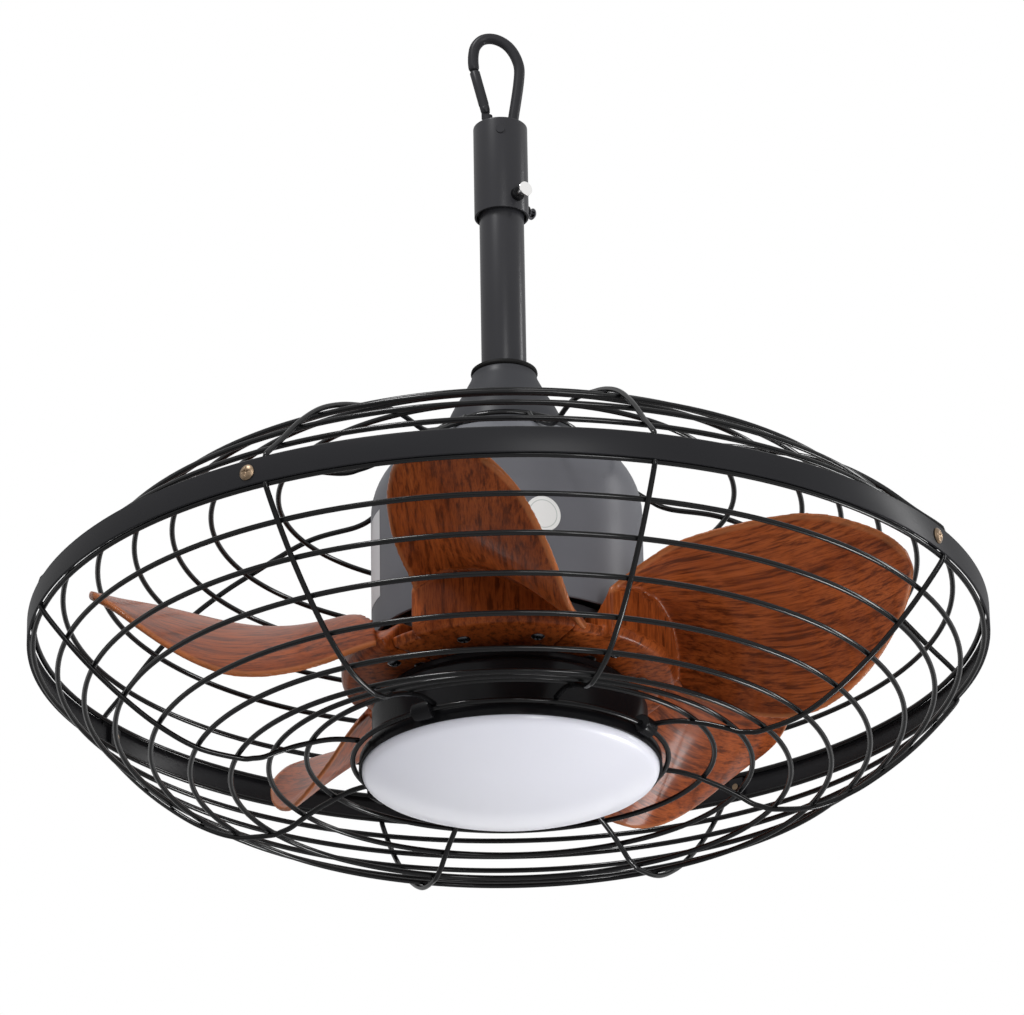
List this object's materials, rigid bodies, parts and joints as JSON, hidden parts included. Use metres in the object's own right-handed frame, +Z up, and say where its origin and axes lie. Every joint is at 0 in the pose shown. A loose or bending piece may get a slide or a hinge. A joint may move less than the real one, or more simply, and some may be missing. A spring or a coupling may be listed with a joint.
{
  "type": "caged outdoor ceiling fan",
  "caption": "Hanging fan with wood-look blades that spin inside a black wire cage, an opal lamp below, and a short downrod on a gated snap hook.",
  "frame": {"origin": "inside of the hook at its top, on the axis of the downrod, where it hangs from its ring", "axes": "+Z up along the downrod; the hook lies in the XZ plane and its gate is on the -X side; -Y faces the viewer of the picture"},
  "size_m": [0.5302, 0.5302, 0.4805],
  "materials": {
    "black_metal": "satin",
    "blade_wood": "satin",
    "bare_steel": "satin",
    "bright_steel": "polished",
    "bronze_screw": "satin",
    "black_rubber": "matte",
    "magnet": "matte",
    "core_steel": "satin",
    "copper": "satin",
    "board_white": "satin",
    "opal_lens": "satin",
    "black_plastic": "satin"
  },
  "bodies": {
    "hook": {"snap_hook": "black_metal", "gate_pin": "bare_steel"},
    "gate": {"hook_gate": "black_metal"},
    "fan": {"band_screws": "bronze_screw", "band_tabs": "black_metal", "bell_cover": "black_metal", "cage_band": "black_metal", "collar_ring": "black_rubber", "crown_plate": "black_metal", "crown_ring": "black_metal", "downrod": "black_metal", "hanger_sleeve": "black_metal", "hook_pin": "bare_steel", "lamp_housing": "black_plastic", "lamp_nut": "bare_steel", "lamp_ring": "black_metal", "led_board": "board_white", "lens": "opal_lens", "lower_ribs": "black_metal", "lower_ring_1": "black_metal", "lower_ring_2": "black_metal", "lower_ring_3": "black_metal", "lower_ring_4": "black_metal", "lower_ring_5": "black_metal", "lower_ring_6": "black_metal", "lower_ring_7": "black_metal", "lower_ring_8": "black_metal", "lower_ring_9": "black_metal", "motor_cover": "black_metal", "ring_clips": "black_plastic", "shaft": "bare_steel", "sleeve_bolt": "bright_steel", "sleeve_screw": "bright_steel", "stator_coils": "copper", "stator_core": "core_steel", "upper_ribs": "black_metal", "upper_ring_1": "black_metal", "upper_ring_2": "black_metal", "upper_ring_3": "black_metal", "upper_ring_4": "black_metal", "upper_ring_5": "black_metal", "upper_ring_6": "black_metal", "upper_ring_7": "black_metal", "yoke": "black_metal", "yoke_pin": "bare_steel"},
    "rotor": {"bearings": "bare_steel", "blade_1": "blade_wood", "blade_2": "blade_wood", "blade_3": "blade_wood", "blade_4": "blade_wood", "blade_5": "blade_wood", "blade_hub": "bare_steel", "blade_screws": "black_metal", "magnets": "magnet", "rotor_shell": "bare_steel"}
  },
  "joints": [
    {"name": "fan_swing", "type": "hinge", "parent": "hook", "child": "fan", "pos_m": [0, 0, -0.0619], "axis": [0, 1, 0], "range_deg": [-12, 12]},
    {"name": "rotor_spin", "type": "hinge", "parent": "fan", "child": "rotor", "pos_m": [0, 0, -0.3729], "axis": [0, 0, 1], "continuous": true},
    {"name": "gate_swing", "type": "hinge", "parent": "hook", "child": "gate", "pos_m": [-0.0084, 0, -0.0415], "axis": [0, 1, 0], "range_deg": [0, 38], "stiffness_Nm_per_rad": 0.01, "springref_deg": -17.19}
  ]
}
